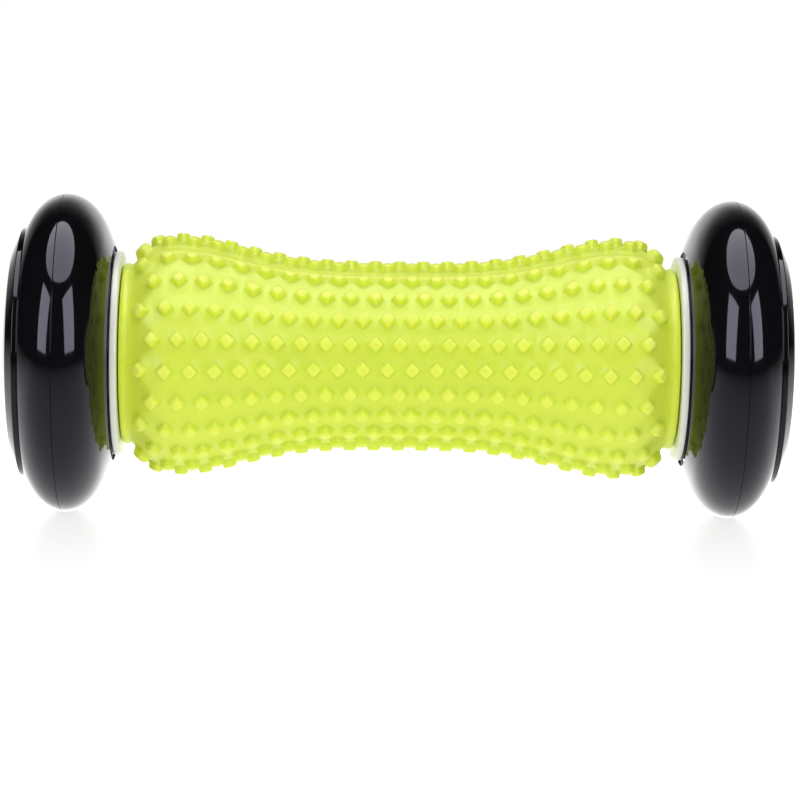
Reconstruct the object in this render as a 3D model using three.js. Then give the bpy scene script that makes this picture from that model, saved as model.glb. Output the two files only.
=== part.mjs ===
// Foot massage roller: a waisted, nubbed barrel that spins on a steel axle between two fat wheels.
// Millimetres. The axle lies along X through the origin, +Z is up, and the wheels stand on the floor below.

import * as THREE from 'three';

const SIDES = { left: -1, right: 1 };
const GAP = 0.3;                    // between pieces that touch and don't turn on each other

// Wheel: hollow, with an egg-shaped section that is widest near the hub, made of two half shells.
const WHEEL_CENTRE = 73.2;          // distance of the wheel's tallest circle from the roller's middle
const WHEEL_RADIUS = 35;
const INNER_WIDTH = 10.4;           // half axes of the section along the axle, on each side of that circle
const OUTER_WIDTH = 9.9;
const SECTION_DEPTH = 14.9;         // half axis of the section away from the axle
const SECTION_CENTRE = WHEEL_RADIUS - SECTION_DEPTH;
const SHELL_WALL = 2;
const PARTING = 73.7;               // plane of the line between the shells
const WEB = 63.4;                   // flat face that looks at the barrel
const LIP_RADIUS = 23.6;            // of the shallow recess round that face
const LIP_END = 62.65;              // rim of the recess, just behind the barrel's end flange
const SLOPE_RADIUS = 27.3;          // where the straight slope up to the lip leaves the ellipse
const HUB_RADIUS = 8;
const HUB_BORE = 5.75;
const HUB_END = 76;
const CAP_SEAT = 80.6;              // ledge in the outer shell that the hub cap lies on
const CAP_OPENING = 20;             // radius of the hole that the hub cap plugs
const WHEEL_SEGMENTS = 28;          // divisible by four, so that a flat facet lies at the bottom

// Hub cap.
const CAP_RADIUS = 27.3;
const CAP_EDGE = 82.7;              // outer corner of its rim, proud of the wheel
const CAP_SHOULDER = 84.6;          // where the sloping rim meets the gentler slope inside it
const CAP_SHOULDER_RADIUS = 23;
const CAP_FACE = 85.75;             // flat outer face: half of the roller's length
const CAP_FACE_RADIUS = 17;
const CAP_WALL = 1.5;
const CAP_SPIGOT_DEPTH = 3.2;

// Barrel.
const SLEEVE_END = 60.6;
const SLEEVE_BORE = 16.65;
const SLEEVE_ROUNDING = 0.8;
const WAIST_RADIUS = 19;
const BULGE_RISE = 5.7;             // from the waist to the fattest place, without nubs
const BULGE_AT = 47.7;              // distance of the fattest place from the middle
const SHOULDER_END = 58.2;
const SHOULDER_DROP = 4.8;          // from the fattest place down to the smooth end band
const BAND_RADIUS = WAIST_RADIUS + BULGE_RISE - SHOULDER_DROP;
const CORE_RADIUS = 16;
const CORE_WALL = 2;
const CORE_END = 60;
const FLANGE_RADIUS = 22.5;
const FLANGE_INNER = 60.9;
const FLANGE_OUTER = 62.35;
const PLUG_RADIUS = CORE_RADIUS - CORE_WALL - GAP;
const PLUG_WALL = 2;
const PLUG_START = 49;
const PLUG_HUB_START = 52;
const PLUG_HUB_RADIUS = 9;
const BUSH_SEAT = 6.8;
const SEGMENTS = 24;

// Nubs: four-sided frustums with one corner towards each end of the roller.
const NUB_PITCH = 5.3;
const NUB_HEIGHT = 1.9;
const NUB_TOP = 1.7;                // half diagonals
const NUB_FOOT = 2.1;
const NUB_LEAN = 0.3;               // share of the sleeve's slope that a nub leans by
const SHOULDER_LEAN = 0.8;          // the same on the shoulders
const ROWS_PER_HALF = 11;
const ROW_STEP = 16;                // degrees
const ROW_MARGIN = 10;              // degrees from a mould parting line to the first row
const PARTING_ANGLE = 72;           // degrees above the horizontal, on the -Y side
const NUBS_IN_LONG_ROW = 22;
const NUBBED_END = NUBS_IN_LONG_ROW / 2 * NUB_PITCH;

// Axle and what is on it.
const AXLE_RADIUS = 4;
const AXLE_END = 76.1;
const AXLE_CHAMFER = 0.4;
const TAPPED_RADIUS = 2.3;
const TAPPED_DEPTH = 14;
const RUNNING_BORE = 4.15;          // leaves 0.07 between its flats and the axle's corners
const SMALL_SEGMENTS = 16;
const THRUST_RADIUS = 22.3;
const THRUST_INNER = 62.55;
const THRUST_OUTER = 63.05;
const LOCK_WASHER_RADIUS = 7.5;
const LOCK_WASHER_THICKNESS = 1.2;
const SCREW_RADIUS = 2;
const SCREW_LENGTH = 12;
const SCREW_HEAD_RADIUS = 4.4;
const SCREW_HEAD_HEIGHT = 2.4;
const SCREW_SEGMENTS = 12;

function material(color, roughness, metalness = 0) {
  return new THREE.MeshStandardMaterial({ color, roughness, metalness });
}

const LIME_ELASTOMER = () => material(0xc8e632, 0.55);
const WHITE_PLASTIC = () => material(0xeef0e6, 0.4);
const BLACK_PLASTIC = () => material(0x0c0c0f, 0.12);
const NYLON = () => material(0xd9d6c8, 0.5);
const STEEL = () => material(0xb4b6b9, 0.35, 1);

// A profile of [distance along X, radius] points turned about the X axis. The radii are those of the flats,
// and one flat lies at the bottom.
function turned(profile, segments) {
  const halfFacet = Math.PI / segments;
  const points = profile.map(([along, radius]) => new THREE.Vector2(radius / Math.cos(halfFacet), along));
  const geometry = new THREE.LatheGeometry(points, segments, halfFacet);
  geometry.rotateZ(-Math.PI / 2);
  return geometry;
}

// A point on the wheel's section, or inset from it. Zero degrees is the tread and 90 degrees looks away
// from the roller's middle.
function onSection(inset, degrees) {
  const angle = THREE.MathUtils.degToRad(degrees);
  const width = degrees < 0 ? INNER_WIDTH : OUTER_WIDTH;
  return [
    WHEEL_CENTRE + (width - inset) * Math.sin(angle),
    SECTION_CENTRE + (SECTION_DEPTH - inset) * Math.cos(angle),
  ];
}

function arc(inset, fromDegrees, toDegrees, steps) {
  const points = [];
  for (let step = 0; step <= steps; step += 1) {
    points.push(onSection(inset, fromDegrees + (toDegrees - fromDegrees) * step / steps));
  }
  return points;
}

// The angle at which the section, or the one inset from it, crosses a plane square to the axle.
function angleAtPlane(inset, along) {
  const width = along < WHEEL_CENTRE ? INNER_WIDTH : OUTER_WIDTH;
  return THREE.MathUtils.radToDeg(Math.asin((along - WHEEL_CENTRE) / (width - inset)));
}

// The angle at which the section comes down to a radius on its outer side. The inner side's is the negative.
function angleAtRadius(radius) {
  return THREE.MathUtils.radToDeg(Math.acos((radius - SECTION_CENTRE) / SECTION_DEPTH));
}

function closed(profile) {
  return [...profile, profile[0]];
}

function wheelInnerShell() {
  const edge = PARTING - GAP / 2;
  const back = WEB + SHELL_WALL;
  return turned(closed([
    [WEB, HUB_BORE],
    [WEB, LIP_RADIUS],
    [LIP_END, LIP_RADIUS],
    ...arc(0, -angleAtRadius(SLOPE_RADIUS), 0, 5),
    onSection(0, angleAtPlane(0, edge)),
    ...arc(SHELL_WALL, angleAtPlane(SHELL_WALL, edge), angleAtPlane(SHELL_WALL, back), 4),
    [back, HUB_RADIUS],
    [HUB_END, HUB_RADIUS],
    [HUB_END, HUB_BORE],
  ]), WHEEL_SEGMENTS);
}

function wheelOuterShell() {
  const edge = PARTING + GAP / 2;
  const rebate = CAP_RADIUS + GAP;
  const floor = CAP_SEAT - SHELL_WALL;
  return turned(closed([
    ...arc(SHELL_WALL, angleAtPlane(SHELL_WALL, floor), angleAtPlane(SHELL_WALL, edge), 3),
    ...arc(0, angleAtPlane(0, edge), angleAtRadius(rebate), 5),
    [CAP_SEAT, rebate],
    [CAP_SEAT, CAP_OPENING],
    [floor, CAP_OPENING],
  ]), WHEEL_SEGMENTS);
}

function hubCap() {
  const spigot = CAP_OPENING - GAP;
  const underside = CAP_SEAT + GAP;
  return turned([
    [CAP_FACE - CAP_WALL, 0],
    [CAP_FACE - CAP_WALL, spigot - CAP_WALL],
    [underside - CAP_SPIGOT_DEPTH, spigot - CAP_WALL],
    [underside - CAP_SPIGOT_DEPTH, spigot],
    [underside, spigot],
    [underside, CAP_RADIUS],
    [CAP_EDGE, CAP_RADIUS],
    [CAP_SHOULDER, CAP_SHOULDER_RADIUS],
    [CAP_FACE, CAP_FACE_RADIUS],
    [CAP_FACE, 0],
  ], WHEEL_SEGMENTS);
}

function wheelBush() {
  return turned(closed([
    [WEB + GAP, RUNNING_BORE],
    [WEB + GAP, HUB_BORE - GAP],
    [HUB_END - GAP / 2, HUB_BORE - GAP],
    [HUB_END - GAP / 2, RUNNING_BORE],
  ]), SMALL_SEGMENTS);
}

function barrelBush() {
  return turned(closed([
    [PLUG_HUB_START, RUNNING_BORE],
    [PLUG_HUB_START, BUSH_SEAT - GAP],
    [FLANGE_OUTER - GAP / 2, BUSH_SEAT - GAP],
    [FLANGE_OUTER - GAP / 2, RUNNING_BORE],
  ]), SMALL_SEGMENTS);
}

function endPlug() {
  return turned(closed([
    [PLUG_START, PLUG_RADIUS - PLUG_WALL],
    [PLUG_START, PLUG_RADIUS],
    [FLANGE_INNER, PLUG_RADIUS],
    [FLANGE_INNER, FLANGE_RADIUS],
    [FLANGE_OUTER, FLANGE_RADIUS],
    [FLANGE_OUTER, BUSH_SEAT],
    [PLUG_HUB_START, BUSH_SEAT],
    [PLUG_HUB_START, PLUG_HUB_RADIUS],
    [FLANGE_INNER - PLUG_WALL, PLUG_HUB_RADIUS],
    [FLANGE_INNER - PLUG_WALL, PLUG_RADIUS - PLUG_WALL],
  ]), SEGMENTS);
}

function disc(inner, outer, bore, radius, segments) {
  return turned(closed([[inner, bore], [inner, radius], [outer, radius], [outer, bore]]), segments);
}

function coreTube() {
  return disc(-CORE_END, CORE_END, CORE_RADIUS - CORE_WALL, CORE_RADIUS, SEGMENTS);
}

function axleRod() {
  const half = [
    [AXLE_END - TAPPED_DEPTH, 0],
    [AXLE_END - TAPPED_DEPTH, TAPPED_RADIUS],
    [AXLE_END, TAPPED_RADIUS],
    [AXLE_END, AXLE_RADIUS - AXLE_CHAMFER],
    [AXLE_END - AXLE_CHAMFER, AXLE_RADIUS],
  ];
  const otherHalf = half.map(([along, radius]) => [-along, radius]);
  return turned([...otherHalf, ...half.reverse()], SMALL_SEGMENTS);
}

function retainingScrew() {
  const seat = AXLE_END + GAP + LOCK_WASHER_THICKNESS + GAP;
  return turned([
    [seat - SCREW_LENGTH, 0],
    [seat - SCREW_LENGTH, SCREW_RADIUS - 0.5],
    [seat - SCREW_LENGTH + 0.5, SCREW_RADIUS],
    [seat, SCREW_RADIUS],
    [seat, SCREW_HEAD_RADIUS],
    [seat + SCREW_HEAD_HEIGHT * 0.5, SCREW_HEAD_RADIUS],
    [seat + SCREW_HEAD_HEIGHT, SCREW_HEAD_RADIUS * 0.6],
    [seat + SCREW_HEAD_HEIGHT, 0],
  ], SCREW_SEGMENTS);
}

// The sleeve's radius without nubs: a waist, a bulge near each end and a shoulder down to the end band.
function sleeveRadius(along) {
  const distance = Math.abs(along);
  if (distance <= BULGE_AT) {
    const rise = Math.sin(Math.PI / 2 * (distance / BULGE_AT) ** 1.75) ** 2;
    return WAIST_RADIUS + BULGE_RISE * rise;
  }
  const drop = Math.min((distance - BULGE_AT) / (SHOULDER_END - BULGE_AT), 1) ** 3;
  return WAIST_RADIUS + BULGE_RISE - SHOULDER_DROP * drop;
}

// A place on the sleeve: a distance along X, a radius and an angle above the horizontal on the -Y side.
function place(along, degrees, radius = sleeveRadius(along)) {
  const angle = THREE.MathUtils.degToRad(degrees);
  return new THREE.Vector3(along, -radius * Math.cos(angle), radius * Math.sin(angle));
}

// A four-cornered top held above the sleeve, leaning with the sleeve's slope. The corners look towards
// -X, the lower angle, +X and the higher angle.
function nubTop(along, degrees) {
  const step = 0.1;
  const slope = (sleeveRadius(along + step) - sleeveRadius(along - step)) / (2 * step);
  const lean = Math.atan(slope) * (Math.abs(along) > BULGE_AT ? SHOULDER_LEAN : NUB_LEAN);
  const outward = place(0, degrees, 1);
  const axial = new THREE.Vector3(1, 0, 0);
  const up = outward.clone().multiplyScalar(Math.cos(lean)).addScaledVector(axial, -Math.sin(lean));
  const across = axial.clone().multiplyScalar(Math.cos(lean)).addScaledVector(outward, Math.sin(lean));
  const around = up.clone().cross(across);
  const centre = place(along, degrees).addScaledVector(up, NUB_HEIGHT);
  return [
    centre.clone().addScaledVector(across, -NUB_TOP),
    centre.clone().addScaledVector(around, -NUB_TOP),
    centre.clone().addScaledVector(across, NUB_TOP),
    centre.clone().addScaledVector(around, NUB_TOP),
  ];
}

// One nub and the patch of sleeve round it, between two angles and half a pitch each way along X.
function nubCell(along, degrees, low, high) {
  const half = NUB_PITCH / 2;
  const turn = THREE.MathUtils.radToDeg(NUB_FOOT / sleeveRadius(along));
  const foot = [
    place(along - NUB_FOOT, degrees),
    place(along, degrees - turn),
    place(along + NUB_FOOT, degrees),
    place(along, degrees + turn),
  ];
  const top = nubTop(along, degrees);
  const [lowBack, lowMiddle, lowFront] = [-half, 0, half].map((offset) => place(along + offset, low));
  const [highBack, highMiddle, highFront] = [-half, 0, half].map((offset) => place(along + offset, high));
  const triangles = [
    [lowBack, lowMiddle, foot[1]], [lowBack, foot[1], foot[0]],
    [lowMiddle, lowFront, foot[1]], [lowFront, foot[2], foot[1]],
    [lowFront, highFront, foot[2]], [highFront, foot[3], foot[2]],
    [highFront, highMiddle, foot[3]], [highMiddle, highBack, foot[3]],
    [highBack, foot[0], foot[3]], [highBack, lowBack, foot[0]],
    [top[0], top[1], top[2]], [top[0], top[2], top[3]],
  ];
  for (let corner = 0; corner < 4; corner += 1) {
    const next = (corner + 1) % 4;
    triangles.push([foot[corner], foot[next], top[next]], [foot[corner], top[next], top[corner]]);
  }
  return triangles;
}

// The strip of sleeve between two angles that follows a path of [distance along X, radius] points.
function strip(path, low, high) {
  const triangles = [];
  for (let step = 1; step < path.length; step += 1) {
    const [from, to] = [path[step - 1], path[step]];
    const corners = [[from, low], [to, low], [to, high], [from, high]]
      .map(([[along, radius], degrees]) => place(along, degrees, radius));
    triangles.push([corners[0], corners[1], corners[2]], [corners[0], corners[2], corners[3]]);
  }
  return triangles;
}

function nubRow(row, degrees, low, high) {
  const count = NUBS_IN_LONG_ROW - row % 2;
  const reach = count / 2 * NUB_PITCH;
  const triangles = [];
  for (let nub = 0; nub < count; nub += 1) {
    triangles.push(...nubCell((nub + 0.5) * NUB_PITCH - reach, degrees, low, high));
  }
  if (reach < NUBBED_END) {
    const [inner, outer] = [reach, NUBBED_END].map((along) => [along, sleeveRadius(along)]);
    const mirrored = [outer, inner].map(([along, radius]) => [-along, radius]);
    triangles.push(...strip([inner, outer], low, high), ...strip(mirrored, low, high));
  }
  return triangles;
}

// The sleeve comes out of a two-part mould, so its rows of nubs come in two equal halves, with a wider
// space at each parting line. Long and short rows take turns, and their nubs are staggered.
function massageSleeve() {
  const end = [
    [NUBBED_END, BAND_RADIUS],
    [SLEEVE_END - SLEEVE_ROUNDING, BAND_RADIUS],
    [SLEEVE_END, BAND_RADIUS - SLEEVE_ROUNDING],
    [SLEEVE_END, SLEEVE_BORE],
  ];
  const otherEnd = end.map(([along, radius]) => [-along, radius]).reverse();
  const triangles = [];
  for (const parting of [PARTING_ANGLE, PARTING_ANGLE + 180]) {
    for (let row = 0; row < ROWS_PER_HALF; row += 1) {
      const degrees = parting + ROW_MARGIN + ROW_STEP * row;
      const low = row === 0 ? parting : degrees - ROW_STEP / 2;
      const high = row === ROWS_PER_HALF - 1 ? parting + 180 : degrees + ROW_STEP / 2;
      triangles.push(...nubRow(row, degrees, low, high), ...strip([...end, ...otherEnd], low, high));
    }
  }
  const geometry = new THREE.BufferGeometry().setFromPoints(triangles.flat());
  geometry.computeVertexNormals();
  return geometry;
}

const roller = new THREE.Group();

function addPiece(name, geometry, finish, parent = roller) {
  const mesh = new THREE.Mesh(geometry, finish);
  mesh.name = name;
  parent.add(mesh);
}

addPiece('massage_sleeve', massageSleeve(), LIME_ELASTOMER());
addPiece('core_tube', coreTube(), WHITE_PLASTIC());
addPiece('axle_rod', axleRod(), STEEL());

for (const [side, direction] of Object.entries(SIDES)) {
  const end = new THREE.Group();
  end.rotation.z = direction > 0 ? 0 : Math.PI;
  roller.add(end);

  const lockWasher = AXLE_END + GAP;
  const lockWasherEnd = lockWasher + LOCK_WASHER_THICKNESS;
  const thrustWasher = disc(THRUST_INNER, THRUST_OUTER, RUNNING_BORE, THRUST_RADIUS, SEGMENTS);
  const retainingWasher = disc(lockWasher, lockWasherEnd, TAPPED_RADIUS, LOCK_WASHER_RADIUS, SMALL_SEGMENTS);

  addPiece(`${side}_end_plug`, endPlug(), WHITE_PLASTIC(), end);
  addPiece(`${side}_barrel_bush`, barrelBush(), NYLON(), end);
  addPiece(`${side}_thrust_washer`, thrustWasher, BLACK_PLASTIC(), end);
  addPiece(`${side}_wheel_inner_shell`, wheelInnerShell(), BLACK_PLASTIC(), end);
  addPiece(`${side}_wheel_outer_shell`, wheelOuterShell(), BLACK_PLASTIC(), end);
  addPiece(`${side}_wheel_bush`, wheelBush(), NYLON(), end);
  addPiece(`${side}_hub_cap`, hubCap(), BLACK_PLASTIC(), end);
  addPiece(`${side}_retaining_washer`, retainingWasher, STEEL(), end);
  addPiece(`${side}_retaining_screw`, retainingScrew(), STEEL(), end);
}

export default roller;
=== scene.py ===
"""Foot massage roller: the finished look of every piece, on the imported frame, with its studio."""

import math

import bmesh
import bpy
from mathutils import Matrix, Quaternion, Vector


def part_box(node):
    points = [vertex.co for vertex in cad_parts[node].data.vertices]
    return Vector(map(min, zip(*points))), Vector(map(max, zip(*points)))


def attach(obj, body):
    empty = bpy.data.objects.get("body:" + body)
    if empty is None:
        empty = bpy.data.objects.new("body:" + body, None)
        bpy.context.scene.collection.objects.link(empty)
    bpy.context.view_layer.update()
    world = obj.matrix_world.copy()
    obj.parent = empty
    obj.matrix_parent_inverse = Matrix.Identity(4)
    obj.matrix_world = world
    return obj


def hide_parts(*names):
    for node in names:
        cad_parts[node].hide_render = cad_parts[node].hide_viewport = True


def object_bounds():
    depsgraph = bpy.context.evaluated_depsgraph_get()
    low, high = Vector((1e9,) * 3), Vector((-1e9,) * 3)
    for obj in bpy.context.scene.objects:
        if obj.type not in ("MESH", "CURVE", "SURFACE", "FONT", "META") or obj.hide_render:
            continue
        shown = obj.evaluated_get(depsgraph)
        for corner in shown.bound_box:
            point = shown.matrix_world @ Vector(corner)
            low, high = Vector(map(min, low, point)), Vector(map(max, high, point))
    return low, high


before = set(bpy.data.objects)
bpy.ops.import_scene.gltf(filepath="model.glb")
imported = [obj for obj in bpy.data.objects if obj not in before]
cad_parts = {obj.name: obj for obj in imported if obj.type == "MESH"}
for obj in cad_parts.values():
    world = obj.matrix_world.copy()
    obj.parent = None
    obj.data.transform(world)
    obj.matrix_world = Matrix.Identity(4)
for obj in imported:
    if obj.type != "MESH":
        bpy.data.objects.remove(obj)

CAD_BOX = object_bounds()
MM = 0.001
SIDES = {"left": -1, "right": 1}
FINE = 192                      # facets round a wheel
MEDIUM = 96                     # facets round a small turned piece

# The sleeve without its nubs, as in the CAD model.
SLEEVE_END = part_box("massage_sleeve")[1].x
SLEEVE_BORE = 16.65 * MM
WAIST_RADIUS = 19 * MM
BULGE_RISE = 5.7 * MM
BULGE_AT = 47.7 * MM
SHOULDER_END = 58.2 * MM
SHOULDER_DROP = 4.8 * MM
BAND_RADIUS = WAIST_RADIUS + BULGE_RISE - SHOULDER_DROP
BAND_GROOVE = 0.25 * MM         # depth of the step where the nubbed part ends
BAND_ROUNDING = 1.0 * MM

# Its nubs.
NUB_PITCH = 5.3 * MM
NUB_HEIGHT = 1.9 * MM
NUB_TOP = 1.7 * MM              # half diagonals
NUB_FOOT = 2.1 * MM
NUB_CORNER = 0.65 * MM          # rounding of the four upright edges
NUB_EDGE = 0.6 * MM             # rounding of the top's edge
NUB_ROOT = 0.5 * MM             # fillet at the foot
NUB_LEAN = 0.3                  # shares of the sleeve's slope that a nub leans by
SHOULDER_LEAN = 0.8
ROWS_PER_HALF = 11
ROW_STEP = 16
ROW_MARGIN = 10
PARTING_ANGLE = 72
NUBS_IN_LONG_ROW = 22
NUBBED_END = NUBS_IN_LONG_ROW / 2 * NUB_PITCH
QUARTER_STEPS = 6               # mesh edges in each quarter of a nub's outline
FLASH_HALF_WIDTH = 0.35         # degrees, of the thin ridge on each mould parting line
FLASH_HEIGHT = 0.07 * MM
FLASH_POINTS = 10               # points of an end's outline that the ridge runs over before it dies out

# The wheels, whose section is an ellipse.
WHEEL_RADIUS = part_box("right_wheel_inner_shell")[1].z
WHEEL_CENTRE = 73.2 * MM
INNER_WIDTH = 10.4 * MM         # half axes along the axle, on each side of the tallest circle
OUTER_WIDTH = 9.9 * MM
SECTION_DEPTH = 14.9 * MM
SECTION_CENTRE = WHEEL_RADIUS - SECTION_DEPTH
SHELL_WALL = 2 * MM
PARTING = 73.7 * MM
HALF_SPLIT = 0.04 * MM
WEB = 63.4 * MM
LIP_RADIUS = 23.6 * MM          # of the recess round the flat face that looks at the barrel
LIP_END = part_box("right_wheel_inner_shell")[0].x
SLOPE_RADIUS = 27.3 * MM        # where the straight slope up to the lip leaves the ellipse
HUB_BORE = 5.75 * MM
HUB_RADIUS = 8 * MM
HUB_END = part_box("right_wheel_inner_shell")[1].x
RUNNING_BORE = 4.15 * MM
CAP_SEAT = 80.6 * MM            # ledge in the outer shell that the hub cap lies on
CAP_REBATE = 27.5 * MM          # radius of the round pocket that the cap fills
CAP_OPENING = 20 * MM           # radius of the hole that the cap plugs

# The hub cap.
CAP_RIM = 27.35 * MM
CAP_EDGE = 82.75 * MM           # outer corner of its rim
CAP_SHOULDER = 84.6 * MM
CAP_SHOULDER_RADIUS = 23.2 * MM
CAP_FACE_RADIUS = 17 * MM
CAP_SPIGOT = 19.8 * MM          # outer radius of the stub that plugs the opening
CAP_WALL = 1.5 * MM

# The plug in each end of the barrel.
FLANGE_RADIUS = 22.5 * MM
FLANGE_INNER = 60.9 * MM
PLUG_RADIUS = 13.9 * MM
PLUG_WALL = 2 * MM
PLUG_HUB_RADIUS = 9 * MM
PLUG_HUB_START = 52 * MM
BUSH_SEAT = 6.6 * MM


# ---------------------------------------------------------------- mesh helpers

def finished_mesh(name, bm, sharp_degrees=40):
    """Turns a bmesh into an object with outward normals, smooth but for its sharp edges."""
    bmesh.ops.recalc_face_normals(bm, faces=bm.faces)
    mesh = bpy.data.meshes.new(name)
    bm.to_mesh(mesh)
    bm.free()
    mesh.shade_smooth()
    mesh.set_sharp_from_angle(angle=math.radians(sharp_degrees))
    piece = bpy.data.objects.new(name, mesh)
    bpy.context.scene.collection.objects.link(piece)
    return piece


def turned(name, outline, segments=MEDIUM, direction=1):
    """An outline of (distance along X, radius) points turned about the X axis."""
    bm = bmesh.new()
    rings = []
    for step in range(segments):
        angle = 2 * math.pi * step / segments
        sine, cosine = math.sin(angle), math.cos(angle)
        rings.append([bm.verts.new((direction * x, r * sine, r * cosine)) for x, r in outline])
    pairs = [(index - 1, index) for index in range(len(outline))]
    walls = [(first, second) for first, second in pairs if outline[first][1] or outline[second][1]]
    for step in range(segments):
        here, there = rings[step], rings[(step + 1) % segments]
        for first, second in walls:
            bm.faces.new((here[first], here[second], there[second], there[first]))
    bmesh.ops.remove_doubles(bm, verts=bm.verts, dist=1e-7)
    return finished_mesh(name, bm)


def rounded(corners, steps=5):
    """An outline from (along, radius, fillet) corners, with an arc in place of each filleted one."""
    outline = []
    for index, (along, radius, fillet) in enumerate(corners):
        here = Vector((along, radius))
        if fillet == 0:
            outline.append(tuple(here))
            continue
        before = Vector(corners[index - 1][:2]) - here
        after = Vector(corners[(index + 1) % len(corners)][:2]) - here
        half = before.angle(after) / 2
        reach = min(fillet / math.tan(half), 0.48 * before.length, 0.48 * after.length)
        middle = (before.normalized() + after.normalized()).normalized()
        centre = here + middle * (reach / math.cos(half))
        start = here + before.normalized() * reach - centre
        end = here + after.normalized() * reach - centre
        for step in range(steps + 1):
            outline.append(tuple(centre + start.slerp(end, step / steps) * start.length))
    return outline


def section_width(side):
    """The section's half axis on the inner side of the tallest circle, or on the outer side if positive."""
    return INNER_WIDTH if side < 0 else OUTER_WIDTH


def arc(inset, from_degrees, to_degrees, steps):
    """Unfilleted corners along the wheel's section or inset from it: 0 is the tread and 90 looks outward."""
    corners = []
    for step in range(steps + 1):
        angle = math.radians(from_degrees + (to_degrees - from_degrees) * step / steps)
        along = WHEEL_CENTRE + (section_width(angle) - inset) * math.sin(angle)
        corners.append((along, SECTION_CENTRE + (SECTION_DEPTH - inset) * math.cos(angle), 0))
    return corners


def angle_at_plane(inset, along):
    offset = along - WHEEL_CENTRE
    return math.degrees(math.asin(offset / (section_width(offset) - inset)))


def angle_at_radius(radius):
    return math.degrees(math.acos((radius - SECTION_CENTRE) / SECTION_DEPTH))


# ---------------------------------------------------------------- the nubbed sleeve

def sleeve_radius(along):
    distance = abs(along)
    if distance <= BULGE_AT:
        return WAIST_RADIUS + BULGE_RISE * math.sin(math.pi / 2 * (distance / BULGE_AT) ** 1.75) ** 2
    drop = min((distance - BULGE_AT) / (SHOULDER_END - BULGE_AT), 1) ** 3
    return WAIST_RADIUS + BULGE_RISE - SHOULDER_DROP * drop


def place(along, degrees, radius):
    """A place on the sleeve, at an angle above the horizontal on the -Y side."""
    angle = math.radians(degrees)
    return Vector((along, -radius * math.cos(angle), radius * math.sin(angle)))


def on_sleeve(along, degrees):
    return place(along, degrees, sleeve_radius(along))


def nub_outline(half_diagonal, corner):
    """A diamond with rounded corners, starting at its low corner, as (along, across) offsets."""
    outline = []
    inner = half_diagonal - corner * math.sqrt(2) + corner
    straight = QUARTER_STEPS // 3
    for quarter in range(4):
        start = math.radians(-90 + 90 * quarter)
        heading = Vector((math.cos(start), math.sin(start)))
        following = Vector((-heading.y, heading.x))
        core = inner - corner
        for step in range(straight):
            swing = math.radians(45) * step / straight
            direction = heading * math.cos(swing) + following * math.sin(swing)
            outline.append(heading * core + direction * corner)
        diagonal = (heading + following).normalized() * corner
        for step in range(straight):
            share = step / straight
            outline.append(heading * core * (1 - share) + following * core * share + diagonal)
        for step in range(straight):
            swing = math.radians(45) * (1 - step / straight)
            direction = following * math.cos(swing) + heading * math.sin(swing)
            outline.append(following * core + direction * corner)
    return outline


def nub_rings():
    """A nub's outlines from its top down to its foot, each with its height and its share of painted light
    and shade.

    It is 1 on the top, painted lighter as if lit, 0 on the open skin of the sleeve and below 0 at the root,
    painted darker as shade.
    """
    levels = [
        (NUB_TOP - 1.05 * NUB_EDGE, NUB_HEIGHT, 1.0),
        (NUB_TOP - 0.5 * NUB_EDGE, NUB_HEIGHT - 0.12 * NUB_EDGE, 1.0),
        (NUB_TOP - 0.12 * NUB_EDGE, NUB_HEIGHT - 0.42 * NUB_EDGE, 0.6),
        (NUB_TOP + 0.08 * NUB_EDGE, NUB_HEIGHT - NUB_EDGE, 0.2),
        (NUB_FOOT - 0.35 * NUB_ROOT, NUB_ROOT, -0.3),
        (NUB_FOOT, 0.3 * NUB_ROOT, -0.5),
        (NUB_FOOT + 0.5 * NUB_ROOT, 0.04 * NUB_ROOT, -0.1),
    ]
    return [(nub_outline(half, min(NUB_CORNER, 0.45 * half)), up, painted_light) for half, up, painted_light in levels]


def nub_up(along, degrees):
    step = 0.1 * MM
    slope = (sleeve_radius(along + step) - sleeve_radius(along - step)) / (2 * step)
    lean = math.atan(slope) * (SHOULDER_LEAN if abs(along) > BULGE_AT else NUB_LEAN)
    return place(-math.sin(lean), degrees, math.cos(lean))


def between(low, middle, high, steps):
    """Values from low to high with middle half way, steps values in each half, and high left out."""
    first = [low + (middle - low) * step / steps for step in range(steps)]
    return first + [middle + (high - middle) * step / steps for step in range(steps)]


def cell_border(along, degrees, low, high):
    """Places round the edge of a nub's patch, starting below its middle, in the order of a nub's outline."""
    half = NUB_PITCH / 2
    steps = QUARTER_STEPS // 2
    alongs = between(along - half, along, along + half, steps) + [along + half]
    turns = between(low, degrees, high, steps) + [high]
    bottom = [(x, low) for x in alongs]
    right = [(along + half, turn) for turn in turns]
    top = [(x, high) for x in reversed(alongs)]
    left = [(along - half, turn) for turn in reversed(turns)]
    border = bottom[steps:-1] + right[:-1] + top[:-1] + left[:-1] + bottom[:steps]
    return [on_sleeve(x, turn) for x, turn in border]


def add_cell(bm, rings, along, degrees, low, high):
    """One nub and the patch of sleeve round it."""
    up = nub_up(along, degrees)
    to_degrees = math.degrees(1 / sleeve_radius(along))
    # Each vertex carries its share of painted light and shade: tops painted lighter, roots painted darker.
    layer = bm.verts.layers.float["painted_light"]
    loops = []
    for outline, height, painted_light in rings:
        loop = []
        for offset in outline:
            foot = on_sleeve(along + offset.x, degrees + offset.y * to_degrees)
            loop.append(bm.verts.new(foot + up * height))
            loop[-1][layer] = painted_light
        loops.append(loop)
    loops.append([bm.verts.new(point) for point in cell_border(along, degrees, low, high)])
    for inner, outer in zip(loops, loops[1:]):
        for index in range(len(inner)):
            after = (index + 1) % len(inner)
            bm.faces.new((inner[index], outer[index], outer[after], inner[after]))
    tip = bm.verts.new(on_sleeve(along, degrees) + up * (NUB_HEIGHT + 0.04 * MM))
    tip[layer] = 1
    first = loops[0]
    for index in range(len(first)):
        bm.faces.new((tip, first[index], first[(index + 1) % len(first)]))


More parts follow.
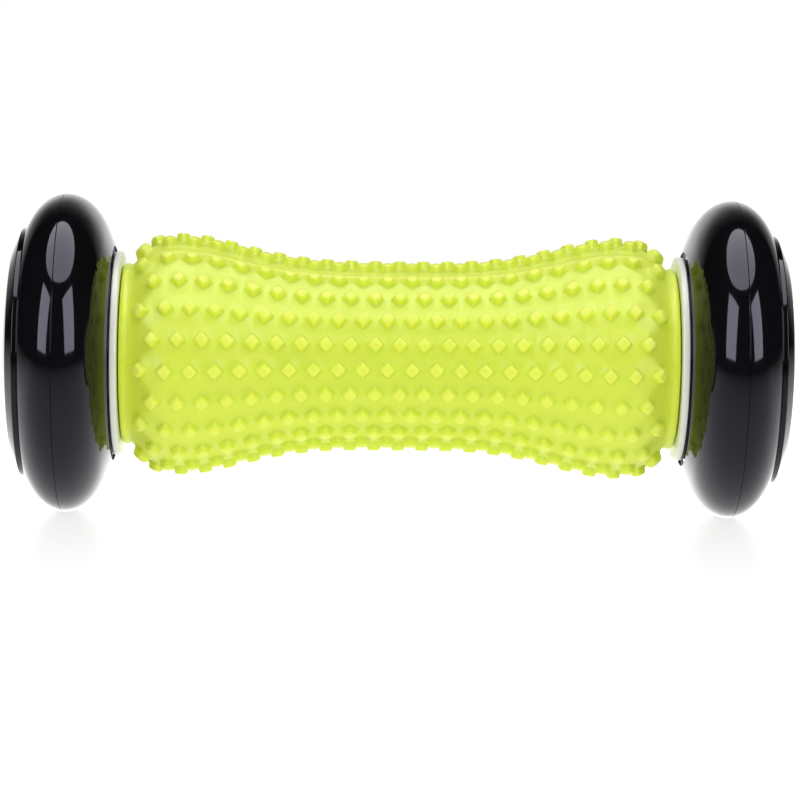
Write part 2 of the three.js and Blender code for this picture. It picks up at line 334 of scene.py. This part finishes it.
def add_grid(bm, places):
    """Quads over a grid of places."""
    rows = [[bm.verts.new(point) for point in row] for row in places]
    for row, following in zip(rows, rows[1:]):
        for index in range(len(row) - 1):
            bm.faces.new((row[index], row[index + 1], following[index + 1], following[index]))


def add_row(bm, rings, row, degrees, low, high):
    count = NUBS_IN_LONG_ROW - row % 2
    reach = count / 2 * NUB_PITCH
    for nub in range(count):
        add_cell(bm, rings, (nub + 0.5) * NUB_PITCH - reach, degrees, low, high)
    steps = QUARTER_STEPS // 2
    turns = between(low, degrees, high, steps) + [high]
    if reach < NUBBED_END:
        for sign in (-1, 1):
            alongs = [sign * (reach + (NUBBED_END - reach) * step / steps) for step in range(steps + 1)]
            add_grid(bm, [[on_sleeve(along, turn) for turn in turns] for along in alongs])
    add_grid(bm, [[place(x, turn, r) for turn in turns] for x, r in sleeve_end_outline()])


def sleeve_end_outline():
    """The outline from the last nubs round both ends and through the bore, as (along, radius)."""
    groove = NUBBED_END + 0.45 * MM
    end = [(NUBBED_END, BAND_RADIUS)]
    end += [(NUBBED_END + 0.2 * MM, BAND_RADIUS - 0.1 * MM)]
    end += [(groove, BAND_RADIUS - BAND_GROOVE), (groove + 0.2 * MM, BAND_RADIUS - BAND_GROOVE)]
    end += [(groove + 0.45 * MM, BAND_RADIUS - 0.04 * MM)]
    for step in range(7):
        angle = math.radians(90 * step / 6)
        along = SLEEVE_END - BAND_ROUNDING * (1 - math.sin(angle))
        end.append((along, BAND_RADIUS - BAND_ROUNDING * (1 - math.cos(angle))))
    end.append((SLEEVE_END, SLEEVE_BORE))
    bore = [(SLEEVE_END * share / 4, SLEEVE_BORE) for share in (3, 2, 1, 0)]
    half = end + bore
    return half + [(-along, radius) for along, radius in reversed(half[:-1])]


def add_flash(bm, degrees):
    """The thin ridge that the mould leaves on its parting line, along the nubbed part and round the ends."""
    steps = 2 * NUBS_IN_LONG_ROW * (QUARTER_STEPS // 2)
    path = [(-NUBBED_END + 2 * NUBBED_END * step / steps) for step in range(steps + 1)]
    ridge = [(x, sleeve_radius(x), FLASH_HEIGHT) for x in path]
    outline = sleeve_end_outline()
    round_end = [(x, r, FLASH_HEIGHT if index < FLASH_POINTS else 0) for index, (x, r) in enumerate(outline)]
    other = round_end[1:-1]
    mirrored = {round(-x, 7): height for x, _, height in round_end[:FLASH_POINTS]}
    strip = ridge + [(x, r, max(height, mirrored.get(round(x, 7), 0))) for x, r, height in other]
    strip.append(strip[0])
    turns = (degrees - FLASH_HALF_WIDTH, degrees, degrees + FLASH_HALF_WIDTH)
    add_grid(bm, [
        [place(x, turn, r + height * (turn == degrees)) for turn in turns] for x, r, height in strip
    ])


def sleeve_piece():
    bm = bmesh.new()
    # A vertex value for the painted light on the nub tops and the painted shade at their roots.
    bm.verts.layers.float.new("painted_light")
    rings = nub_rings()
    for parting in (PARTING_ANGLE, PARTING_ANGLE + 180):
        for row in range(ROWS_PER_HALF):
            degrees = parting + ROW_MARGIN + ROW_STEP * row
            low = degrees - ROW_STEP / 2
            high = degrees + ROW_STEP / 2
            if row == 0:
                low = parting + FLASH_HALF_WIDTH
            if row == ROWS_PER_HALF - 1:
                high = parting + 180 - FLASH_HALF_WIDTH
            add_row(bm, rings, row, degrees, low, high)
        add_flash(bm, parting)
    bmesh.ops.remove_doubles(bm, verts=bm.verts, dist=2e-6)
    return finished_mesh("sleeve", bm, sharp_degrees=60)


# ---------------------------------------------------------------- turned pieces

def wheel_inner_shell():
    edge, back = PARTING - HALF_SPLIT, WEB + SHELL_WALL
    outer = arc(0, -angle_at_radius(SLOPE_RADIUS), angle_at_plane(0, edge), 56)
    outer[-1] = (*outer[-1][:2], 0.08 * MM)
    inner = arc(SHELL_WALL, angle_at_plane(SHELL_WALL, edge), angle_at_plane(SHELL_WALL, back), 24)
    return rounded([
        (WEB, HUB_BORE, 0.2 * MM), (WEB, LIP_RADIUS, 0.1 * MM), (LIP_END, LIP_RADIUS, 0.12 * MM),
        *outer, *inner, (back, HUB_RADIUS, 0.5 * MM),
        (HUB_END, HUB_RADIUS, 0.3 * MM), (HUB_END, HUB_BORE, 0.2 * MM),
    ])


def wheel_outer_shell():
    edge, floor = PARTING + HALF_SPLIT, CAP_SEAT - SHELL_WALL
    outer = arc(0, angle_at_plane(0, edge), angle_at_radius(CAP_REBATE), 48)
    outer[0] = (*outer[0][:2], 0.08 * MM)
    outer[-1] = (*outer[-1][:2], 0.15 * MM)
    inner = arc(SHELL_WALL, angle_at_plane(SHELL_WALL, floor), angle_at_plane(SHELL_WALL, edge), 24)
    return rounded([
        *inner, *outer, (CAP_SEAT, CAP_REBATE, 0.2 * MM), (CAP_SEAT, CAP_OPENING, 0.3 * MM),
        (floor, CAP_OPENING, 0.3 * MM),
    ])


def wheel_bush():
    return ring("right_wheel_bush", RUNNING_BORE, HUB_BORE - 0.05 * MM, 0.25 * MM)


def hub_cap():
    inner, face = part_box("right_hub_cap")[0].x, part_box("right_hub_cap")[1].x
    under, hollow = CAP_SEAT + 0.1 * MM, CAP_SPIGOT - CAP_WALL
    return rounded([
        (face - CAP_WALL, 0, 0), (face - CAP_WALL, hollow, 0.5 * MM), (inner, hollow, 0.2 * MM),
        (inner, CAP_SPIGOT, 0.3 * MM), (under, CAP_SPIGOT, 0.3 * MM), (under, CAP_RIM, 0.15 * MM),
        (CAP_EDGE, CAP_RIM, 0.3 * MM), (CAP_SHOULDER, CAP_SHOULDER_RADIUS, 4 * MM),
        (face, CAP_FACE_RADIUS, 7 * MM), (face, 0, 0),
    ], steps=8)


def end_plug():
    start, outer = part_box("right_end_plug")[0].x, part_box("right_end_plug")[1].x
    floor, hollow = FLANGE_INNER - PLUG_WALL, PLUG_RADIUS - PLUG_WALL
    return rounded([
        (start, hollow, 0.3 * MM), (start, PLUG_RADIUS, 0.5 * MM), (FLANGE_INNER, PLUG_RADIUS, 0.3 * MM),
        (FLANGE_INNER, FLANGE_RADIUS, 0.35 * MM), (outer, FLANGE_RADIUS, 0.35 * MM),
        (outer, BUSH_SEAT, 0.3 * MM), (PLUG_HUB_START, BUSH_SEAT, 0.2 * MM),
        (PLUG_HUB_START, PLUG_HUB_RADIUS, 0.3 * MM), (floor, PLUG_HUB_RADIUS, 0.5 * MM),
        (floor, hollow, 0.5 * MM),
    ])


def ring(node_name, bore, radius, fillet):
    """A plain ring between the ends of a CAD node."""
    inner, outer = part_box(node_name)[0].x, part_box(node_name)[1].x
    return rounded([
        (inner, bore, fillet), (inner, radius, fillet), (outer, radius, fillet), (outer, bore, fillet),
    ])


def barrel_bush():
    return ring("right_barrel_bush", RUNNING_BORE, BUSH_SEAT - 0.05 * MM, 0.25 * MM)


def thrust_washer():
    return ring("right_thrust_washer", RUNNING_BORE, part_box("right_thrust_washer")[1].z, 0.12 * MM)


def retaining_washer():
    return ring("right_retaining_washer", 2.3 * MM, 7.5 * MM, 0.2 * MM)


def retaining_screw():
    tip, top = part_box("right_retaining_screw")[0].x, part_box("right_retaining_screw")[1].x
    seat, shank, head, socket = top - 2.4 * MM, 2 * MM, 4.4 * MM, 1.3 * MM
    thread = []
    pitch = 0.7 * MM
    turns = int((seat - tip - 1.2 * MM) / pitch)
    for turn in range(turns):
        start = tip + 0.4 * MM + turn * pitch
        thread += [(start, shank - 0.3 * MM, 0), (start + pitch / 2, shank, 0)]
    return rounded([
        (tip, 0, 0), (tip, shank - 0.5 * MM, 0), *thread, (seat - 0.6 * MM, shank, 0),
        (seat, shank, 0.2 * MM), (seat, head, 0.3 * MM), (top - 0.9 * MM, head, 0.4 * MM),
        (top, head * 0.62, 0.8 * MM), (top, socket, 0.1 * MM), (top - 1.4 * MM, socket, 0),
        (top - 1.8 * MM, 0, 0),
    ])


def axle_rod():
    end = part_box("axle_rod")[1].x
    depth, tapped, radius = 14 * MM, 2.3 * MM, 4 * MM
    half = [(end - depth, 0, 0), (end - depth, tapped, 0), (end, tapped, 0.2 * MM), (end, radius, 0.5 * MM)]
    return rounded([(-along, r, fillet) for along, r, fillet in half] + half[::-1])


def core_tube():
    return ring("core_tube", 14 * MM, 16 * MM, 0.3 * MM)


# ---------------------------------------------------------------- materials

def new_material(name):
    material = bpy.data.materials.new(name)
    material.use_nodes = True
    return material, material.node_tree, material.node_tree.nodes["Principled BSDF"]


def node(tree, kind, inputs=None, **settings):
    """A node with its settings and with its inputs set to a value or linked to a socket."""
    made = tree.nodes.new(kind)
    for key, value in settings.items():
        setattr(made, key, value)
    for key, value in (inputs or {}).items():
        if isinstance(value, bpy.types.NodeSocket):
            tree.links.new(value, made.inputs[key])
        else:
            made.inputs[key].default_value = value
    return made


def place_on_piece(tree):
    return node(tree, "ShaderNodeTexCoord").outputs["Object"]


def noise(tree, vector, scale, detail=3.0, roughness=0.5):
    made = node(tree, "ShaderNodeTexNoise", {
        "Vector": vector, "Scale": scale, "Detail": detail, "Roughness": roughness,
    })
    return made.outputs["Fac"]


def spread(tree, value, low, high, from_low=0.35, from_high=0.65):
    made = node(tree, "ShaderNodeMapRange", {
        "Value": value, "From Min": from_low, "From Max": from_high, "To Min": low, "To Max": high,
    })
    return made.outputs["Result"]


def blend_colours(tree, factor, first, second):
    made = node(tree, "ShaderNodeMix", {0: factor}, data_type="RGBA")
    made.inputs["A"].default_value = (*first, 1)
    made.inputs["B"].default_value = (*second, 1)
    return made.outputs["Result"]


def ramp(tree, value, stops):
    """A colour that runs through stops of (position, colour)."""
    made = node(tree, "ShaderNodeValToRGB", {"Fac": value})
    elements = made.color_ramp.elements
    elements.remove(elements[0])
    for index, (position, colour) in enumerate(stops):
        element = elements[0] if index == 0 else elements.new(position)
        element.position = position
        element.color = (*colour, 1)
    return made.outputs["Color"]


def turning(tree):
    """The place on a turned piece as (along, angle, radius), for marks that run round it."""
    parts = node(tree, "ShaderNodeSeparateXYZ", {0: place_on_piece(tree)}).outputs
    angle = node(tree, "ShaderNodeMath", {0: parts["Y"], 1: parts["Z"]}, operation="ARCTAN2").outputs[0]
    flat = node(tree, "ShaderNodeCombineXYZ", {0: parts["Y"], 1: parts["Z"]}).outputs[0]
    radius = node(tree, "ShaderNodeVectorMath", {0: flat}, operation="LENGTH").outputs["Value"]
    return parts["X"], angle, radius


def streaks(tree, fine, slow):
    """Noise drawn out round the axle."""
    along, angle, radius = turning(tree)
    across = node(tree, "ShaderNodeMath", {0: along, 1: radius}, operation="ADD").outputs[0]
    wide = node(tree, "ShaderNodeMath", {0: across, 1: fine}, operation="MULTIPLY").outputs[0]
    round_it = node(tree, "ShaderNodeMath", {0: angle, 1: slow}, operation="MULTIPLY").outputs[0]
    vector = node(tree, "ShaderNodeCombineXYZ", {0: wide, 1: round_it}).outputs[0]
    return noise(tree, vector, 1.0, detail=2.0)


def bump(tree, height, distance, strength=1.0, normal=None):
    inputs = {"Height": height, "Distance": distance, "Strength": strength}
    if normal is not None:
        inputs["Normal"] = normal
    return node(tree, "ShaderNodeBump", inputs).outputs["Normal"]


def lime_elastomer():
    """Soft moulded elastomer: a satin skin with a fine grain, with painted light on the nub tops and painted
    shade at their roots.
    """
    material, tree, shader = new_material("lime_elastomer")
    where = place_on_piece(tree)
    # The vertex value of painted light and shade on the nubs.
    painted_light = node(tree, "ShaderNodeAttribute", attribute_name="painted_light").outputs["Fac"]
    mottle = spread(tree, noise(tree, where, 160, detail=4.0), -0.12, 0.12)
    share = node(tree, "ShaderNodeMath", {0: painted_light, 1: mottle}, operation="ADD").outputs[0]
    # Painted shade: the root colour is darker than the skin. Painted light: the top colour is paler than the
    # skin.
    shaded_root, skin, lit_top = (0.705, 0.835, 0.046), (0.785, 0.915, 0.058), (0.825, 0.95, 0.080)
    from_root = spread(tree, share, 0, 1, -0.5, 1.0)
    colour = ramp(tree, from_root, ((0.0, shaded_root), (0.333, skin), (1.0, lit_top)))
    grain = noise(tree, where, 2600, detail=2.0)
    tree.links.new(colour, shader.inputs["Base Color"])
    tree.links.new(spread(tree, noise(tree, where, 420), 0.42, 0.54), shader.inputs["Roughness"])
    shader.inputs["Subsurface Weight"].default_value = 0.8
    shader.inputs["Subsurface Radius"].default_value = (1.0, 1.0, 0.25)
    shader.inputs["Subsurface Scale"].default_value = 1.2 * MM
    shader.inputs["Specular IOR Level"].default_value = 0.5
    shader.inputs["Sheen Weight"].default_value = 0.1
    shader.inputs["Sheen Roughness"].default_value = 0.4
    tree.links.new(bump(tree, grain, 0.03 * MM, 0.5), shader.inputs["Normal"])
    return material


def black_plastic():
    """Polished black plastic: a clear gloss with faint flow waves and hairline marks round the axle."""
    material, tree, shader = new_material("black_plastic")
    where = place_on_piece(tree)
    hairlines = spread(tree, streaks(tree, 9000, 2.5), 0, 1, 0.62, 0.8)
    cloud = noise(tree, where, 55, detail=2.0)
    haze = spread(tree, cloud, 0.045, 0.085)
    rough = node(tree, "ShaderNodeMath", {0: hairlines, 1: 0.10, 2: haze}, operation="MULTIPLY_ADD")
    colour = blend_colours(tree, cloud, (0.0040, 0.0038, 0.0050), (0.0056, 0.0054, 0.0069))
    tree.links.new(colour, shader.inputs["Base Color"])
    tree.links.new(rough.outputs[0], shader.inputs["Roughness"])
    waves = bump(tree, noise(tree, where, 90, detail=1.0), 0.02 * MM, 0.35)
    tree.links.new(bump(tree, hairlines, 0.002 * MM, 0.3, waves), shader.inputs["Normal"])
    shader.inputs["IOR"].default_value = 1.37
    shader.inputs["Specular Tint"].default_value = (0.84, 0.81, 1.0, 1)
    return material


def white_plastic():
    """Plain moulded white plastic with a faint tool grain."""
    material, tree, shader = new_material("white_plastic")
    where = place_on_piece(tree)
    colour = blend_colours(tree, noise(tree, where, 130), (0.90, 0.92, 0.85), (0.95, 0.96, 0.91))
    tree.links.new(colour, shader.inputs["Base Color"])
    tree.links.new(spread(tree, noise(tree, where, 500), 0.3, 0.42), shader.inputs["Roughness"])
    shader.inputs["Subsurface Weight"].default_value = 0.1
    shader.inputs["Subsurface Radius"].default_value = (1.0, 1.0, 0.8)
    shader.inputs["Subsurface Scale"].default_value = 0.6 * MM
    tree.links.new(bump(tree, noise(tree, where, 1800), 0.02 * MM, 0.4), shader.inputs["Normal"])
    return material


def nylon():
    """Natural nylon, waxy, with the marks of turning."""
    material, tree, shader = new_material("nylon")
    where = place_on_piece(tree)
    colour = blend_colours(tree, noise(tree, where, 200), (0.66, 0.63, 0.52), (0.74, 0.71, 0.61))
    tree.links.new(colour, shader.inputs["Base Color"])
    tree.links.new(spread(tree, noise(tree, where, 700), 0.38, 0.5), shader.inputs["Roughness"])
    tree.links.new(bump(tree, streaks(tree, 6000, 1.0), 0.01 * MM, 0.4), shader.inputs["Normal"])
    return material


def turned_steel():
    """Bright steel with fine turning marks round the axle."""
    material, tree, shader = new_material("turned_steel")
    marks = streaks(tree, 14000, 1.5)
    stain = noise(tree, place_on_piece(tree), 220)
    colour = blend_colours(tree, stain, (0.50, 0.51, 0.52), (0.62, 0.63, 0.64))
    tree.links.new(colour, shader.inputs["Base Color"])
    shader.inputs["Metallic"].default_value = 1.0
    shader.inputs["Anisotropic"].default_value = 0.4
    tree.links.new(spread(tree, marks, 0.2, 0.38), shader.inputs["Roughness"])
    tree.links.new(bump(tree, marks, 0.006 * MM, 0.5), shader.inputs["Normal"])
    return material


# ---------------------------------------------------------------- putting it together

MATERIALS = {
    "lime_elastomer": lime_elastomer(),
    "black_plastic": black_plastic(),
    "white_plastic": white_plastic(),
    "nylon": nylon(),
    "steel": turned_steel(),
}


def fit(piece, body, slot, cad_node):
    """Paints a piece, and lets it ride on its body in place of the CAD node it stands for."""
    piece.data.materials.append(MATERIALS[slot])
    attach(piece, body)
    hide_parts(cad_node)


END_PIECES = [
    ("end_plug", end_plug, FINE, "barrel", "white_plastic"),
    ("barrel_bush", barrel_bush, MEDIUM, "barrel", "nylon"),
    ("thrust_washer", thrust_washer, FINE, "axle", "black_plastic"),
    ("wheel_inner_shell", wheel_inner_shell, FINE, "wheel", "black_plastic"),
    ("wheel_outer_shell", wheel_outer_shell, FINE, "wheel", "black_plastic"),
    ("wheel_bush", wheel_bush, MEDIUM, "wheel", "nylon"),
    ("hub_cap", hub_cap, FINE, "wheel", "black_plastic"),
    ("retaining_washer", retaining_washer, MEDIUM, "axle", "steel"),
    ("retaining_screw", retaining_screw, MEDIUM, "axle", "steel"),
]


def build_roller():
    fit(sleeve_piece(), "barrel", "lime_elastomer", "massage_sleeve")
    fit(turned("core_tube_skin", core_tube()), "barrel", "white_plastic", "core_tube")
    fit(turned("axle_rod_skin", axle_rod()), "axle", "steel", "axle_rod")
    for side, direction in SIDES.items():
        for name, outline, segments, body, slot in END_PIECES:
            piece = turned(f"{side}_{name}_skin", outline(), segments, direction)
            fit(piece, f"{side}_wheel" if body == "wheel" else body, slot, f"{side}_{name}")


# ---------------------------------------------------------------- the studio

SHEET_LEVEL = CAD_BOX[0].z + 0.5 * MM     # of the sheets of light that lie just above the floor
CAMERA_DISTANCE = 0.724
CAMERA_ELEVATION = 7.0
CAMERA_YAW = -0.85
CAMERA_ROLL = 0.73
CAMERA_AIM = Vector((0.00045, 0, -0.0098))
LENS = 147.4


def floor_material():
    material, tree, shader = new_material("floor")
    where = place_on_piece(tree)
    colour = blend_colours(tree, noise(tree, where, 3), (0.19, 0.19, 0.19), (0.20, 0.20, 0.20))
    tree.links.new(colour, shader.inputs["Base Color"])
    # The floor glows as painted light, and glows less in a long pool round the roller: a painted shadow
    # stretched along the axle.
    long_pool = node(tree, "ShaderNodeVectorMath", {0: where, 1: (0.3, 1, 1)}, operation="MULTIPLY")
    away = node(tree, "ShaderNodeVectorMath", {0: long_pool.outputs[0]}, operation="LENGTH")
    painted_floor_light = spread(tree, away.outputs["Value"], 0.79, 1.02, 0.05, 0.16)
    shader.inputs["Emission Color"].default_value = (1, 1, 1, 1)
    tree.links.new(painted_floor_light, shader.inputs["Emission Strength"])
    shader.inputs["Roughness"].default_value = 0.14
    shader.inputs["IOR"].default_value = 1.10
    return material


def studio_floor():
    half, level = 0.45, CAD_BOX[0].z
    corners = [(-half, -half, level), (half, -half, level), (half, half, level), (-half, half, level)]
    mesh = bpy.data.meshes.new("floor")
    mesh.from_pydata(corners, [], [(0, 1, 2, 3)])
    floor = bpy.data.objects.new("floor", mesh)
    bpy.context.scene.collection.objects.link(floor)
    mesh.materials.append(floor_material())
    floor.visible_glossy = False


def card(name, centre, target, size, radiance, shape="RECTANGLE"):
    """A white card that only shows in reflections, facing a target."""
    light = sheet_light(name, centre, target, size, radiance, shape)
    light.visible_diffuse = False
    return light


def grade(light, across, along):
    """Fades a card from its middle to its edges, by stops of (share of its half size, strength)."""
    light.data.use_nodes = True
    tree = light.data.node_tree
    where = node(tree, "ShaderNodeNewGeometry").outputs["Parametric"]
    middle = {0: where, 1: (2, 2, 0), 2: (-1, -1, 0)}
    offset = node(tree, "ShaderNodeVectorMath", middle, operation="MULTIPLY_ADD")
    share = node(tree, "ShaderNodeVectorMath", {0: offset.outputs[0]}, operation="ABSOLUTE")
    axes = node(tree, "ShaderNodeSeparateXYZ", {0: share.outputs[0]})
    fades = [
        ramp(tree, axes.outputs[axis], [(at, (strength,) * 3) for at, strength in stops])
        for axis, stops in ((0, across), (1, along))
    ]
    strength = node(tree, "ShaderNodeMath", {0: fades[0], 1: fades[1]}, operation="MULTIPLY")
    emission = next(shader for shader in tree.nodes if shader.type == "EMISSION")
    tree.links.new(strength.outputs[0], emission.inputs["Strength"])


def sheet_light(name, centre, target, size, radiance, shape="RECTANGLE"):
    lamp = bpy.data.lights.new(name, "AREA")
    lamp.shape = shape
    lamp.size, lamp.size_y = size
    area = size[0] * size[1] * (math.pi / 4 if shape == "ELLIPSE" else 1)
    lamp.energy = radiance * math.pi * area
    light = bpy.data.objects.new(name, lamp)
    light.visible_camera = False
    light.location = centre
    light.rotation_euler = (Vector(target) - Vector(centre)).to_track_quat("-Z", "Y").to_euler()
    bpy.context.scene.collection.objects.link(light)
    return light


def soft_light(name, direction, irradiance):
    """Broad light from a direction, which leaves no highlight of its own."""
    lamp = bpy.data.lights.new(name, "SUN")
    lamp.energy = irradiance
    lamp.angle = math.radians(110)
    light = bpy.data.objects.new(name, lamp)
    light.visible_glossy = False
    light.rotation_euler = (-direction).to_track_quat("-Z", "Y").to_euler()
    bpy.context.scene.collection.objects.link(light)


def around(azimuth, elevation, distance):
    """A place at an azimuth to the right of the camera's side and an elevation, both in degrees."""
    turn, rise = math.radians(azimuth), math.radians(elevation)
    level = distance * math.cos(rise)
    return Vector((level * math.sin(turn), -level * math.cos(turn), distance * math.sin(rise)))


def backdrop():
    """The white wall behind the roller, fading upwards and to the sides."""
    wall = card("backdrop", (0, 1.4, 0), (0, 0, 0), (2.6, 4.8), 1.25)
    grade(
        wall,
        ((0.0, 1.0), (0.3, 1.0), (0.6, 0.35), (1.0, 0.0)),
        ((0.0, 1.0), (0.20, 0.9), (0.31, 0.52), (0.43, 0.25), (0.60, 0.09), (0.85, 0.0)),
    )


def floor_sheen():
    """What the gloss mirrors of the floor, which darkens away from the roller."""
    sheen = card("floor_sheen", (0, 0, SHEET_LEVEL), (0, 0, 1), (2.0, 1.2), 1.25)
    grade(
        sheen,
        ((0.0, 1.0), (0.2, 0.95), (0.5, 0.4), (1.0, 0.0)),
        ((0.0, 1.0), (0.06, 0.88), (0.15, 0.70), (0.30, 0.46), (0.45, 0.30), (0.75, 0.08), (1.0, 0.0)),
    )


def studio_lights():
    """Reflected cards give the highlights, and soft lights without highlights give the shading."""
    card("top_card", (0, -0.095, 1.0), (0, -0.095, 0), (1.44, 1.09), 5.0, "ELLIPSE")
    for name, azimuth in (("left_card", -47), ("right_card", 47)):
        card(name, around(azimuth, 25, 2.0), (0, 0, 0), (1.1, 1.46), 6.6)
    backdrop()
    floor_sheen()
    soft_light("overhead", around(0, 80, 1), 1.75)
    soft_light("left", around(-58, 15, 1), 0.95)
    soft_light("right", around(58, 15, 1), 0.95)
    bounce = sheet_light("bounce", (0, 0, SHEET_LEVEL), (0, 0, 1), (0.8, 0.8), 0.48)
    bounce.visible_glossy = False


def white_surround():
    """A white background that only the camera sees."""
    world = bpy.data.worlds.new("studio")
    world.use_nodes = True
    world.node_tree.nodes["Background"].inputs["Color"].default_value = (1, 1, 1, 1)
    bpy.context.scene.world = world
    world.cycles_visibility.glossy = False
    world.cycles_visibility.diffuse = False


def studio_camera():
    lens = bpy.data.cameras.new("camera")
    lens.lens = LENS
    lens.sensor_width = 36
    camera = bpy.data.objects.new("camera", lens)
    camera.location = around(CAMERA_YAW, CAMERA_ELEVATION, CAMERA_DISTANCE)
    turn = (CAMERA_AIM - camera.location).to_track_quat("-Z", "Y")
    roll = Quaternion((0, 0, 1), math.radians(CAMERA_ROLL))
    camera.rotation_mode = "QUATERNION"
    camera.rotation_quaternion = turn @ roll
    bpy.context.scene.collection.objects.link(camera)
    bpy.context.scene.camera = camera


studio_camera()
studio_floor()
studio_lights()
white_surround()
bpy.context.scene.view_settings.view_transform = "Standard"
build_roller()
